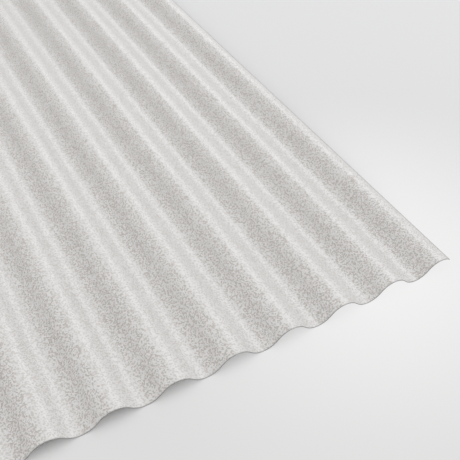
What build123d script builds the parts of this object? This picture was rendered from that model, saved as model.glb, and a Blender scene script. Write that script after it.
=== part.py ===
from build123d import *
from math import asin, atan2, cos, degrees, radians, sin
import os

# Corrugated sheet, roll formed from one flat strip.
# +Y runs along the corrugations, +X across them and +Z up.
# The origin is under the middle of the sheet, on the surface that its troughs rest on.

# Driving dimensions, in millimetres
pitch = 76.0  # from crest to crest
depth = 17.7  # from crest to trough, on one face of the sheet
flank_flat = 4.7  # straight stretch between a crest's bend and a trough's bend
sheet_thickness = 0.5
sheet_length = 1800.0
half_waves = 21  # from the outer trough on the left to the outer crest on the right
lap_lip = 15.1  # from the outer trough or crest to the slit edge, across the sheet

# The bend that leaves a flat of that length between circles half a pitch apart
half_pitch = pitch / 2
bend_radius = (half_pitch**2 + depth**2 - flank_flat**2) / (4 * depth)

# The flat is an inner tangent of two neighbouring circles
centres_slope = atan2(2 * bend_radius - depth, half_pitch)
flank_angle = degrees(atan2(2 * bend_radius, flank_flat) - centres_slope)
lip_angle = degrees(asin(lap_lip / bend_radius))

# The lower face turns outside the trough circles and inside the crest circles
trough_radius = bend_radius + sheet_thickness / 2
crest_radius = bend_radius - sheet_thickness / 2

# Lower corner of the left slit edge, where the strip still climbs out of its trough
first_trough = -half_waves * half_pitch / 2
slit_edge_x = first_trough - trough_radius * sin(radians(lip_angle))
slit_edge_z = trough_radius * (1 - cos(radians(lip_angle)))
slit_heading = (cos(radians(lip_angle)), -sin(radians(lip_angle)))

with BuildPart() as corrugated_sheet:
    with BuildSketch(Plane.XZ) as section:
        with BuildLine():
            bend = JernArc(
                (slit_edge_x, slit_edge_z),
                slit_heading,
                trough_radius,
                lip_angle + flank_angle,
            )
            for wave in range(1, half_waves + 1):
                flank = Line(bend @ 1, bend @ 1 + (bend % 1) * flank_flat)
                past_centre = lip_angle if wave == half_waves else flank_angle
                is_crest = wave % 2 == 1
                bend = JernArc(
                    flank @ 1,
                    flank % 1,
                    crest_radius if is_crest else trough_radius,
                    (flank_angle + past_centre) * (-1 if is_crest else 1),
                )
            offset(amount=sheet_thickness, side=Side.LEFT)
        make_face()
    extrude(amount=sheet_length / 2, both=True)

corrugated_sheet.part.label = "corrugated_sheet"
os.makedirs("parts", exist_ok=True)
export_step(corrugated_sheet.part, "parts/corrugated_sheet.step")
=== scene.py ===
from math import asin, atan2, cos, pi, radians, sin

import bmesh
import bpy
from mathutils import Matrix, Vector


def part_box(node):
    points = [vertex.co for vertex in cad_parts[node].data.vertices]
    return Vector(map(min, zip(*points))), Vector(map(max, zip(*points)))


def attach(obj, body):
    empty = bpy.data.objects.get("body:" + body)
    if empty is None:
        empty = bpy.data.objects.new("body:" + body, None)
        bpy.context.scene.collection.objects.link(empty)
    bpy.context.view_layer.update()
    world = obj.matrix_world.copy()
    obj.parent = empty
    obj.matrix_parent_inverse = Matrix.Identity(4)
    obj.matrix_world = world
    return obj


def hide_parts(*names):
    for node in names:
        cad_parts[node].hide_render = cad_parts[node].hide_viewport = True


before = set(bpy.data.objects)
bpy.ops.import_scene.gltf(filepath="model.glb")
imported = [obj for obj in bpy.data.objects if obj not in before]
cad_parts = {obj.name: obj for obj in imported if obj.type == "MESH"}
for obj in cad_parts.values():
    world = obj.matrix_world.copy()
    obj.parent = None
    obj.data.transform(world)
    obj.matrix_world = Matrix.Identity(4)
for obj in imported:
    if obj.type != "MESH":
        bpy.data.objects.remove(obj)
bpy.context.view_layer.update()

# The rolled section, in metres, as the sheet is made
PITCH = 0.076
DEPTH = 0.0177
FLANK_FLAT = 0.0047
THICKNESS = 0.0005
LAP_LIP = 0.0151
HALF_WAVES = 21

BEND_RADIUS = ((PITCH / 2) ** 2 + DEPTH**2 - FLANK_FLAT**2) / (4 * DEPTH)
CENTRES_SLOPE = atan2(2 * BEND_RADIUS - DEPTH, PITCH / 2)
FLANK_ANGLE = atan2(2 * BEND_RADIUS, FLANK_FLAT) - CENTRES_SLOPE
LIP_ANGLE = asin(LAP_LIP / BEND_RADIUS)
TROUGH_RADIUS = BEND_RADIUS + THICKNESS / 2
CREST_RADIUS = BEND_RADIUS - THICKNESS / 2
MID_HEIGHT = (DEPTH + THICKNESS) / 2
FIRST_TROUGH = -HALF_WAVES * PITCH / 4
LAST_CREST = -FIRST_TROUGH

# The sheet's mesh
SHEET = "corrugated_sheet"
low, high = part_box(SHEET)
BEND_STEPS = 16  # edges round one whole bend
FEWEST_STEPS = 2  # edges round the shortest stretch of a bend
LENGTH_STEPS = 24  # faces from end to end
SHARP_EDGE = radians(30)  # faces that meet at more than this keep a sharp edge
UPPER, UNDER, CUT = range(3)  # material slots
MAP_GAP = 0.012  # between the strips of the bake's map, in metres of sheet
MAP_RIM = 0.006  # width that a cut edge gets there


def new_object(name, bm):
    """Makes a finished bmesh an object of the scene."""
    mesh = bpy.data.meshes.new(name)
    bm.to_mesh(mesh)
    bm.free()
    made = bpy.data.objects.new(name, mesh)
    bpy.context.scene.collection.objects.link(made)
    return made


def bend_strip(bm, tip, centre, turn):
    """Spins the strip's last vertex round a bend's centre and gives the new last vertex."""
    spun = bmesh.ops.spin(
        bm,
        geom=[tip],
        cent=centre,
        axis=(0, 1, 0),
        angle=turn,
        steps=max(FEWEST_STEPS, round(BEND_STEPS * abs(turn) / (2 * FLANK_ANGLE))),
    )
    return next(v for v in spun["geom_last"] if isinstance(v, bmesh.types.BMVert))


def roll_lower_line(bm):
    """The lower face's section: a trough's bend, then a flank and a bend for each half wave."""
    centre = Vector((FIRST_TROUGH, low.y, TROUGH_RADIUS))
    out = Vector((-sin(LIP_ANGLE), 0, -cos(LIP_ANGLE)))
    tip = bm.verts.new(centre + out * TROUGH_RADIUS)
    tip = bend_strip(bm, tip, centre, -(LIP_ANGLE + FLANK_ANGLE))
    for wave in range(1, HALF_WAVES + 1):
        rising = 1 if wave % 2 else -1
        along = Vector((cos(FLANK_ANGLE), 0, rising * sin(FLANK_ANGLE)))
        inward = Vector((sin(FLANK_ANGLE), 0, -rising * cos(FLANK_ANGLE)))
        corner = bmesh.ops.extrude_vert_indiv(bm, verts=[tip])["verts"][0]
        corner.co += along * FLANK_FLAT
        radius = CREST_RADIUS if rising > 0 else TROUGH_RADIUS
        leaving = LIP_ANGLE if wave == HALF_WAVES else FLANK_ANGLE
        tip = bend_strip(bm, corner, corner.co + inward * radius, rising * (FLANK_ANGLE + leaving))


def note_strip_width(bm, across):
    """Keeps on each vertex of the section how far across the flat strip it lies."""
    bm.verts.ensure_lookup_table()
    for here, before in zip(bm.verts[1:], bm.verts[:-1]):
        here[across] = before[across] + (here.co - before.co).length


def draw_out(bm):
    """Pulls the section along the sheet, one short length at a time."""
    step = Vector((0, (high.y - low.y) / LENGTH_STEPS, 0))
    line = bm.edges[:]
    for _ in range(LENGTH_STEPS):
        pulled = bmesh.ops.extrude_edge_only(bm, edges=line)["geom"]
        new_verts = {v for v in pulled if isinstance(v, bmesh.types.BMVert)}
        bmesh.ops.translate(bm, vec=step, verts=list(new_verts))
        line = [e for e in pulled if isinstance(e, bmesh.types.BMEdge) and set(e.verts) <= new_verts]


def thicken(bm, upper):
    """Gives the lower face its thickness upwards, and marks the upper face's vertices."""
    bmesh.ops.recalc_face_normals(bm, faces=bm.faces)
    if sum(f.normal.z for f in bm.faces) > 0:
        bmesh.ops.reverse_faces(bm, faces=bm.faces)
    lower_count = len(bm.verts)
    bmesh.ops.solidify(bm, geom=bm.faces[:], thickness=THICKNESS)
    bm.normal_update()
    bm.verts.ensure_lookup_table()
    for vert in bm.verts[lower_count:]:
        vert[upper] = 1


def sort_faces(bm, upper):
    """Gives each face its material slot, and shades the sheet smooth between its sharp edges."""
    for face in bm.faces:
        face.smooth = True
        sides = {round(v[upper]) for v in face.verts}
        face.material_index = CUT if len(sides) == 2 else UPPER if 1 in sides else UNDER
    for edge in bm.edges:
        edge.smooth = edge.calc_face_angle(0) < SHARP_EDGE


def lay_out_flat(bm, across, upper):
    """The bake's map: both faces as flat strips side by side, with the cut edges round them."""
    flat = bm.loops.layers.uv.new("OFBake")
    width = max(v[across] for v in bm.verts)
    length = high.y - low.y
    inset = MAP_GAP + MAP_RIM + MAP_GAP
    right_edge = 2 * width + MAP_GAP + inset
    far_end = length + inset
    scale = 1 / (right_edge + inset)
    for face in bm.faces:
        for loop in face.loops:
            vert = loop.vert
            u = inset + vert[across]
            v = inset + vert.co.y - low.y
            rim = MAP_GAP + MAP_RIM * (1 - vert[upper])
            if face.material_index == UNDER:
                u = inset + 2 * width + MAP_GAP - vert[across]
            elif face.material_index == CUT and abs(face.normal.y) > 0.5:
                v = rim + (far_end if face.normal.y > 0 else 0)
            elif face.material_index == CUT:
                u = rim + (right_edge if vert[across] > width / 2 else 0)
            loop[flat].uv = (u * scale, v * scale)


def make_sheet():
    """The whole sheet: a rolled section, drawn out and thickened."""
    bm = bmesh.new()
    across = bm.verts.layers.float.new("across")
    upper = bm.verts.layers.float.new("upper")
    roll_lower_line(bm)
    note_strip_width(bm, across)
    draw_out(bm)
    thicken(bm, upper)
    sort_faces(bm, upper)
    lay_out_flat(bm, across, upper)
    return new_object("coated_sheet", bm)


sheet = make_sheet()
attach(sheet, "root")
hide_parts(SHEET)


def add_node(tree, kind, **settings):
    """Adds a node, with its own settings by name."""
    node = tree.nodes.new(kind)
    for name, value in settings.items():
        setattr(node, name, value)
    return node


def fill_socket(tree, socket, source):
    """Links a socket to another node's output, or sets its value."""
    if isinstance(source, bpy.types.NodeSocket):
        tree.links.new(source, socket)
    else:
        socket.default_value = source


def feed(tree, node, **sources):
    """Fills a node's inputs, by their names with underscores for spaces."""
    for name, source in sources.items():
        fill_socket(tree, node.inputs[name.replace("_", " ")], source)


def maths(tree, operation, *values):
    """A sum of numbers."""
    node = add_node(tree, "ShaderNodeMath", operation=operation)
    for socket, value in zip(node.inputs, values):
        fill_socket(tree, socket, value)
    return node.outputs[0]


def vector_maths(tree, operation, first, second):
    """A sum of two vectors, or the distance between two places."""
    node = add_node(tree, "ShaderNodeVectorMath", operation=operation)
    fill_socket(tree, node.inputs[0], first)
    fill_socket(tree, node.inputs[1], second)
    return node.outputs["Value" if operation == "DISTANCE" else "Vector"]


def scale_vector(tree, vector, factor):
    """A vector times a number."""
    node = add_node(tree, "ShaderNodeVectorMath", operation="SCALE")
    feed(tree, node, Vector=vector, Scale=factor)
    return node.outputs["Vector"]


def split_vector(tree, vector):
    """The X, Y and Z of a vector."""
    node = add_node(tree, "ShaderNodeSeparateXYZ")
    feed(tree, node, Vector=vector)
    return node.outputs


def smooth_ramp(tree, value, start, end):
    """Nought where the value is at start or before, one from end on, and a smooth step between."""
    node = add_node(tree, "ShaderNodeMapRange", interpolation_type="SMOOTHSTEP")
    feed(tree, node, Value=value, From_Min=start, From_Max=end)
    return node.outputs[0]


def noise(tree, place, scale, detail=0.0, roughness=0.5):
    """Noise in space: a number in Fac and a vector in Color."""
    node = add_node(tree, "ShaderNodeTexNoise", noise_dimensions="3D")
    feed(tree, node, Vector=place, Scale=scale, Detail=detail, Roughness=roughness)
    return node.outputs


def blend_colours(tree, amount, first, second):
    """A mix of two colours. A colour Mix node has them in sockets 6 and 7."""
    node = add_node(tree, "ShaderNodeMix", data_type="RGBA", blend_type="MIX")
    for index, value in ((0, amount), (6, first), (7, second)):
        fill_socket(tree, node.inputs[index], value)
    return node.outputs[2]


def new_group(name, inputs, outputs):
    """A shader group with a Vector input and named number inputs and outputs."""
    tree = bpy.data.node_groups.new(name, "ShaderNodeTree")
    tree.interface.new_socket("Vector", in_out="INPUT", socket_type="NodeSocketVector")
    for socket_name, default in inputs.items():
        socket = tree.interface.new_socket(socket_name, in_out="INPUT", socket_type="NodeSocketFloat")
        socket.default_value = default
    for socket_name in outputs:
        tree.interface.new_socket(socket_name, in_out="OUTPUT", socket_type="NodeSocketFloat")
    return tree, tree.nodes.new("NodeGroupInput").outputs, tree.nodes.new("NodeGroupOutput")


def place_group(tree, group, **values):
    """Places a group in a material, with its own values, and gives its outputs."""
    node = add_node(tree, "ShaderNodeGroup", node_tree=group)
    feed(tree, node, **values)
    return node.outputs


def new_material(name, **values):
    """A material with a Principled shader, with its sockets set by name."""
    material = bpy.data.materials.new(name)
    material.use_nodes = True
    tree = material.node_tree
    shader = tree.nodes["Principled BSDF"]
    feed(tree, shader, **values)
    return material, tree, shader


# Levels of noise, which runs from about 0.2 to 0.8
NOISE_MIDDLE = 0.5
RIDGE_FOOT = 0.28
RIDGE_TOP = 0.66
GROOVE_FLOOR = 0.34
CREASE_WHOLE = 0.68

# How fine one noise is beside another
WAVER_SCALE = 0.6  # the wrinkles' waver beside the wrinkles
PLACES_SCALE = 0.7  # the places that have creases beside the creases


def make_wrinkle_grain():
    """Worm-like wrinkles of the coating: rounded light ridges between short dark grooves."""
    inputs = {"Spacing": 0.0021, "Waver": 0.35, "Groove Level": 0.5}
    tree, given, result = new_group("wrinkle_grain", inputs, ["Height", "Groove"])
    per_metre = maths(tree, "DIVIDE", 1.0, given["Spacing"])
    scaled = scale_vector(tree, given["Vector"], per_metre)
    stray = noise(tree, scaled, WAVER_SCALE, detail=1.0)["Color"]
    centred = vector_maths(tree, "SUBTRACT", stray, (NOISE_MIDDLE,) * 3)
    shift = scale_vector(tree, centred, maths(tree, "MULTIPLY", given["Waver"], 2.0))
    strayed = vector_maths(tree, "ADD", scaled, shift)
    ripples = noise(tree, strayed, 1.0)["Fac"]
    ridge = smooth_ramp(tree, ripples, RIDGE_FOOT, RIDGE_TOP)
    groove = smooth_ramp(tree, ripples, given["Groove Level"], GROOVE_FLOOR)
    feed(tree, result, Height=ridge, Groove=groove)
    return tree


def make_long_creases():
    """Thin curved creases, here and there, some wrinkles long."""
    inputs = {"Reach": 0.012, "Half Width": 0.02, "Share": 0.56}
    tree, given, result = new_group("long_creases", inputs, ["Crease"])
    per_metre = maths(tree, "DIVIDE", 1.0, given["Reach"])
    winding = noise(tree, given["Vector"], per_metre)["Fac"]
    off_line = maths(tree, "ABSOLUTE", maths(tree, "SUBTRACT", winding, NOISE_MIDDLE))
    line = smooth_ramp(tree, off_line, given["Half Width"], 0.0)
    wider = maths(tree, "MULTIPLY", per_metre, PLACES_SCALE)
    places = noise(tree, given["Vector"], wider)["Fac"]
    present = smooth_ramp(tree, places, given["Share"], CREASE_WHOLE)
    feed(tree, result, Crease=maths(tree, "MULTIPLY", line, present))
    return tree


def make_soft_mottle():
    """Slow light and dark patches."""
    tree, given, result = new_group("soft_mottle", {"Patch": 0.02}, ["Patches"])
    per_metre = maths(tree, "DIVIDE", 1.0, given["Patch"])
    cloud = noise(tree, given["Vector"], per_metre, detail=2.0, roughness=0.55)["Fac"]
    feed(tree, result, Patches=cloud)
    return tree


def make_painted_edge_shade():
    """The outermost stretch along the slit edges and the ends, where painted shade darkens the coat.
    """
    inputs = {"Reach X": 1.0, "Reach Y": 1.0, "Width X": 0.005, "Width Y": 0.002}
    tree, given, result = new_group("painted_edge_shade", inputs, ["Rim"])
    apart = split_vector(tree, given["Vector"])
    rims = []
    for axis in "XY":
        reach = given[f"Reach {axis}"]
        out = maths(tree, "ABSOLUTE", apart[axis])
        start = maths(tree, "SUBTRACT", reach, given[f"Width {axis}"])
        rims.append(smooth_ramp(tree, out, start, reach))
    feed(tree, result, Rim=maths(tree, "MAXIMUM", *rims))
    return tree


wrinkle_grain = make_wrinkle_grain()
long_creases = make_long_creases()
soft_mottle = make_soft_mottle()
painted_edge_shade = make_painted_edge_shade()

# The coating, as linear colours and in metres
COAT = (0.7225, 0.709, 0.698)
GROOVE = (0.53, 0.496, 0.465)
# Painted shade: the darker tint of the coat's outermost stretch along the edges
EDGE_SHADE_TINT = (0.36, 0.352, 0.345)
# Partly painted shade: the sheared steel's tones are darker than bare steel, for the shade in the gap
# under the edge
DARK_STEEL_AND_SHADE = (0.06, 0.058, 0.056)
LIGHT_STEEL_AND_SHADE = (0.14, 0.136, 0.132)
MOTTLE = 0.03  # how much lighter and darker the coat's patches are
FILM = 1.0
FILM_ROUGHNESS = 0.3
COAT_ROUGHNESS = 0.45
GROOVE_ROUGHER = 0.15  # added to that in a groove
STEEL_ROUGHNESS = 0.65
LIGHT_STEEL_SMOOTHER = 0.3  # taken from that where the steel is lightest
EDGE_SHADE_SIDES = 0.005  # width of the painted shade along the slit edges
EDGE_SHADE_ENDS = 0.002  # width of the painted shade along the cut ends
GRAIN_SPACING = 0.0021
CREASE_REACH = 0.012
MOTTLE_PATCH = 0.022
TARNISH_PATCH = 0.005
UPPER_RELIEF = 0.0006  # from groove to ridge
BACKING_RELIEF = 0.0002
CREASE_DEPTH = 0.5  # as a share of the relief
PAINTED_LIGHT_CALMING = 0.35  # painted light: how much fainter the wrinkles are on faces turned right, which makes those faces lighter
PAINTED_LIGHT_START = -0.16  # X of the surface normal where they start to fade
PAINTED_LIGHT_FULL = -0.02  # X of the surface normal where they are faintest


def opaque(colour, brightness=1.0):
    """A colour times a brightness, as a colour socket takes it."""
    return (*(c * brightness for c in colour), 1)


def painted_light_side(tree):
    """One where a face is level or turns to the right, else nought: where painted light makes the
    wrinkles fainter and the face lighter.
    """
    normal = add_node(tree, "ShaderNodeTexCoord").outputs["Normal"]
    return smooth_ramp(tree, split_vector(tree, normal)["X"], PAINTED_LIGHT_START, PAINTED_LIGHT_FULL)


def wrinkled_coat(name, relief, crease_depth, light_calming):
    """A clear film over a wrinkled, creased and slightly mottled coat, with painted shade along its
    edges, and, when asked, painted light that makes the wrinkles fainter on faces turned right.
    """
    film = {"Coat_Weight": FILM, "Coat_Roughness": FILM_ROUGHNESS}
    material, tree, shader = new_material(name, Specular_IOR_Level=0.0, **film)
    place = add_node(tree, "ShaderNodeTexCoord").outputs["Object"]
    grain = place_group(tree, wrinkle_grain, Vector=place, Spacing=GRAIN_SPACING)
    crease = place_group(tree, long_creases, Vector=place, Reach=CREASE_REACH)["Crease"]
    mottle = place_group(tree, soft_mottle, Vector=place, Patch=MOTTLE_PATCH)["Patches"]
    rim_sizes = {"Reach_X": high.x, "Reach_Y": high.y, "Width_X": EDGE_SHADE_SIDES, "Width_Y": EDGE_SHADE_ENDS}
    rim = place_group(tree, painted_edge_shade, Vector=place, **rim_sizes)["Rim"]
    dips = maths(tree, "MAXIMUM", grain["Groove"], crease)
    sunk = maths(tree, "MULTIPLY", crease, crease_depth)
    height = maths(tree, "SUBTRACT", grain["Height"], sunk)
    # Painted light: fainter dark grooves on faces turned right, so those faces are lighter than the
    # faces turned left
    if light_calming:
        strength = maths(tree, "MULTIPLY_ADD", painted_light_side(tree), -light_calming, 1.0)
        dips = maths(tree, "MULTIPLY", dips, strength)
        height = maths(tree, "MULTIPLY", height, strength)
    patches = blend_colours(tree, mottle, opaque(COAT, 1 - MOTTLE), opaque(COAT, 1 + MOTTLE))
    grooved = blend_colours(tree, dips, patches, opaque(GROOVE))
    # Painted shade: the coat turns darker along the slit edges and the ends
    rimmed = blend_colours(tree, rim, grooved, opaque(EDGE_SHADE_TINT))
    roughness = maths(tree, "MULTIPLY_ADD", dips, GROOVE_ROUGHER, COAT_ROUGHNESS)
    bump = add_node(tree, "ShaderNodeBump")
    feed(tree, bump, Height=height, Distance=relief)
    feed(tree, shader, Base_Color=rimmed, Roughness=roughness, Normal=bump.outputs[0])
    return material


def sheared_steel_and_shade(name):
    """Bare sheared edge, a little tarnished, and darker than bare steel as painted shade of the gap
    beneath it.
    """
    material, tree, shader = new_material(name)
    place = add_node(tree, "ShaderNodeTexCoord").outputs["Object"]
    tarnish = place_group(tree, soft_mottle, Vector=place, Patch=TARNISH_PATCH)["Patches"]
    tone = blend_colours(tree, tarnish, opaque(DARK_STEEL_AND_SHADE), opaque(LIGHT_STEEL_AND_SHADE))
    roughness = maths(tree, "MULTIPLY_ADD", tarnish, -LIGHT_STEEL_SMOOTHER, STEEL_ROUGHNESS)
    feed(tree, shader, Base_Color=tone, Roughness=roughness)
    return material


# In the order of the material slots UPPER, UNDER and CUT
sheet.data.materials.append(wrinkled_coat("light_grey_coat", UPPER_RELIEF, CREASE_DEPTH, PAINTED_LIGHT_CALMING))
sheet.data.materials.append(wrinkled_coat("backing_coat", BACKING_RELIEF, 0.0, 0.0))
sheet.data.materials.append(sheared_steel_and_shade("cut_edge_and_shade"))

# Floor, with a painted pool of light round the sheet's front corner, where its paint is paler
FLOOR_HALF = 6.0
FLOOR_ROUGHNESS = 0.9
FLOOR_TONE = (0.727, 0.724, 0.724)
# Painted light: the paler floor tone inside the pool of light
LIGHT_POOL_TONE = (0.897, 0.895, 0.895)
LIGHT_POOL_X = high.x - 0.075
LIGHT_POOL_Y = low.y + 0.06
LIGHT_POOL_RADIUS = 0.41

# Even light that only the camera and reflections see, where the photo's shadows are faint
EVEN_MOST = 0.9  # its share before the front end
FRONT_FADE = 0.015  # how far behind and before the front end it grows from nought to that
SIDE_FADE = 0.25  # how far past the side edges it fades out
BESIDE_START = -0.6  # Y where it starts in the painted pool of light beside the sheet
BESIDE_WHOLE = -0.85  # Y where it is whole there


def even_light_share(tree, place, light_pool):
    """How much of the floor's brightness is even light, by the place on the floor."""
    apart = split_vector(tree, place)
    in_front = add_node(tree, "ShaderNodeMapRange")
    ends = {"From_Min": low.y + FRONT_FADE, "From_Max": low.y - FRONT_FADE, "To_Max": EVEN_MOST}
    feed(tree, in_front, Value=apart["Y"], **ends)
    off_centre = maths(tree, "ABSOLUTE", apart["X"])
    across = smooth_ramp(tree, off_centre, high.x + SIDE_FADE, high.x)
    front = maths(tree, "MULTIPLY", in_front.outputs[0], across)
    ahead = smooth_ramp(tree, apart["Y"], BESIDE_START, BESIDE_WHOLE)
    beside = maths(tree, "MULTIPLY", ahead, light_pool)
    rests = [maths(tree, "SUBTRACT", 1.0, share) for share in (front, beside)]
    even = maths(tree, "SUBTRACT", 1.0, maths(tree, "MULTIPLY", *rests))
    ray = add_node(tree, "ShaderNodeLightPath").outputs
    seen = maths(tree, "MAXIMUM", ray["Is Camera Ray"], ray["Is Glossy Ray"])
    return maths(tree, "MULTIPLY", even, seen)


def pale_floor():
    """Pale paint, with a painted pool of light and the even light."""
    material, tree, shader = new_material("studio_floor", Roughness=FLOOR_ROUGHNESS)
    place = add_node(tree, "ShaderNodeTexCoord").outputs["Object"]
    from_light_pool = vector_maths(tree, "DISTANCE", place, (LIGHT_POOL_X, LIGHT_POOL_Y, 0))
    light_pool = smooth_ramp(tree, from_light_pool, LIGHT_POOL_RADIUS, 0.0)
    # Painted light: the floor's tone turns paler towards the pool's centre
    tone = blend_colours(tree, light_pool, opaque(FLOOR_TONE), opaque(LIGHT_POOL_TONE))
    feed(tree, shader, Base_Color=tone)
    glow = add_node(tree, "ShaderNodeEmission")
    feed(tree, glow, Color=tone, Strength=1.0)
    mix = add_node(tree, "ShaderNodeMixShader")
    layers = (even_light_share(tree, place, light_pool), shader.outputs[0], glow.outputs[0])
    for socket, source in zip(mix.inputs, layers):
        tree.links.new(source, socket)
    tree.links.new(mix.outputs[0], tree.nodes["Material Output"].inputs["Surface"])
    return material


bm = bmesh.new()
bmesh.ops.create_grid(bm, x_segments=1, y_segments=1, size=FLOOR_HALF)
floor = new_object("studio_floor", bm)
floor.data.materials.append(pale_floor())

# Camera, by its place from the front end, below the last crest at half the sheet's height
CAMERA_LEFT = 0.5574
CAMERA_IN_FRONT = 0.4373
CAMERA_ABOVE = 0.6963
CAMERA_DOWN = 0.7687  # radians below level
CAMERA_TURN = 0.5095  # radians from +Y towards +X
CAMERA_LENS = 57.42
CAMERA_SENSOR = 36


def place_camera():
    """The camera of the photo, as fitted to the sheet's edges."""
    data = bpy.data.cameras.new("camera")
    data.lens = CAMERA_LENS
    data.sensor_width = CAMERA_SENSOR
    camera = bpy.data.objects.new("camera", data)
    bpy.context.scene.collection.objects.link(camera)
    camera.location = (LAST_CREST - CAMERA_LEFT, low.y - CAMERA_IN_FRONT, MID_HEIGHT + CAMERA_ABOVE)
    camera.rotation_euler = (pi / 2 - CAMERA_DOWN, 0, -CAMERA_TURN)
    bpy.context.scene.camera = camera


# Soft studio light
WORLD_TONE = (1.0, 0.996, 0.99)
WORLD_STRENGTH = 0.765
PANEL_TONE = (0.91, 0.958, 1.0)
PANEL_RADIANCE = 1.6
SOFTBOX_SIZE = 1.3
SOFTBOX_DISTANCE = 3.0


def grey_world():
    """Even light from all round, a little warm."""
    world = bpy.data.worlds.new("studio")
    world.use_nodes = True
    background = world.node_tree.nodes["Background"]
    feed(world.node_tree, background, Color=opaque(WORLD_TONE), Strength=WORLD_STRENGTH)
    bpy.context.scene.world = world


def area_lamp(name, width, depth, watts):
    """A rectangular lamp that faces down from the origin."""
    data = bpy.data.lights.new(name, "AREA")
    data.shape = "RECTANGLE"
    data.size = width
    data.size_y = depth
    data.energy = watts
    lamp = bpy.data.objects.new(name, data)
    bpy.context.scene.collection.objects.link(lamp)
    return lamp


def softbox(name, bearing, elevation, watts):
    """A lamp that faces the front half of the sheet, by its bearing from +Y towards +X."""
    lamp = area_lamp(name, SOFTBOX_SIZE, SOFTBOX_SIZE, watts)
    level = cos(elevation)
    away = Vector((sin(bearing) * level, cos(bearing) * level, sin(elevation)))
    lamp.location = Vector((0, low.y / 2, 0)) + away * SOFTBOX_DISTANCE
    lamp.rotation_euler = away.to_track_quat("Z", "Y").to_euler()


def ceiling_panel(name, left, right, front, back, height):
    """A wide level lamp, for the reflection that runs along each crest and trough."""
    width = right - left
    depth = back - front
    lamp = area_lamp(name, width, depth, pi * width * depth * PANEL_RADIANCE)
    lamp.data.color = PANEL_TONE
    lamp.location = ((left + right) / 2, (front + back) / 2, height)
    lamp.visible_camera = False


place_camera()
grey_world()
ceiling_panel("ceiling", left=1.95, right=6.6, front=0.5, back=9.0, height=4.0)
softbox("side_key", bearing=radians(90), elevation=radians(50), watts=7.6)
softbox("high_fill", bearing=radians(-105), elevation=radians(70), watts=6.3)

bpy.context.scene.view_settings.view_transform = "Standard"
